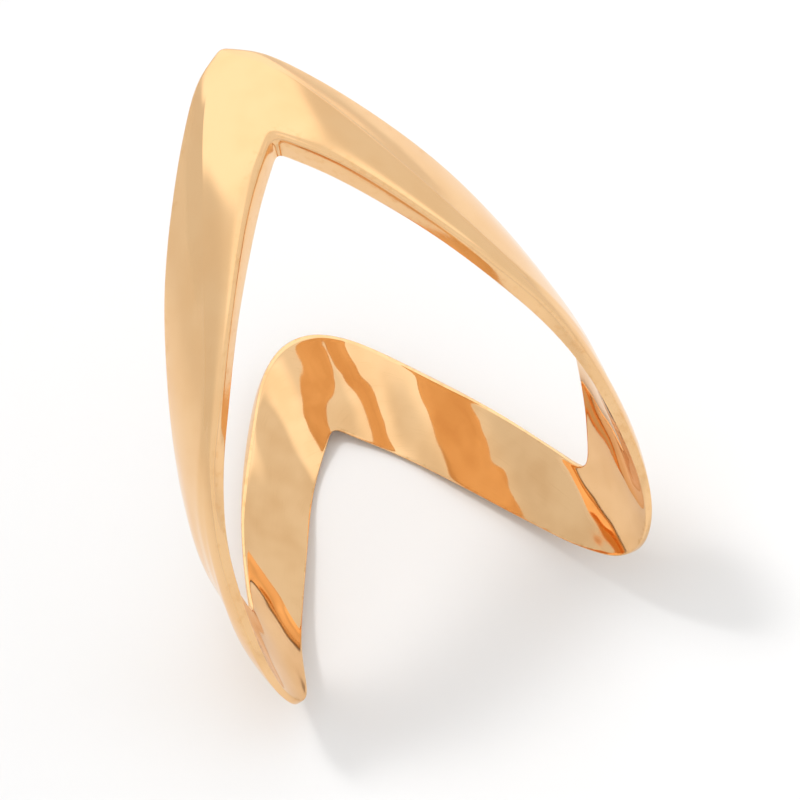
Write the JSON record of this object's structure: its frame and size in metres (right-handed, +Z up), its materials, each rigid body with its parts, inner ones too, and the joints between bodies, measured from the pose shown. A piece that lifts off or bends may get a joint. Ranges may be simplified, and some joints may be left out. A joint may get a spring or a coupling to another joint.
{
  "type": "gold chevron ring",
  "caption": "Polished gold ring whose band rises to a long point in front and a lower point behind, with low tips at the sides.",
  "frame": {"origin": "centre of the base of the bounding box of the ring as it lies on its back point's outer wall", "axes": "+Z up from the surface it rests on; the finger hole runs along +Y, tipped up 13 degrees towards the points; +X to the right when looking along +Y"},
  "size_m": [0.0188, 0.0196, 0.0209],
  "materials": {
    "gold": "mirror-polished rose-yellow gold"
  },
  "bodies": {
    "root": {"band": "gold"}
  },
  "joints": []
}
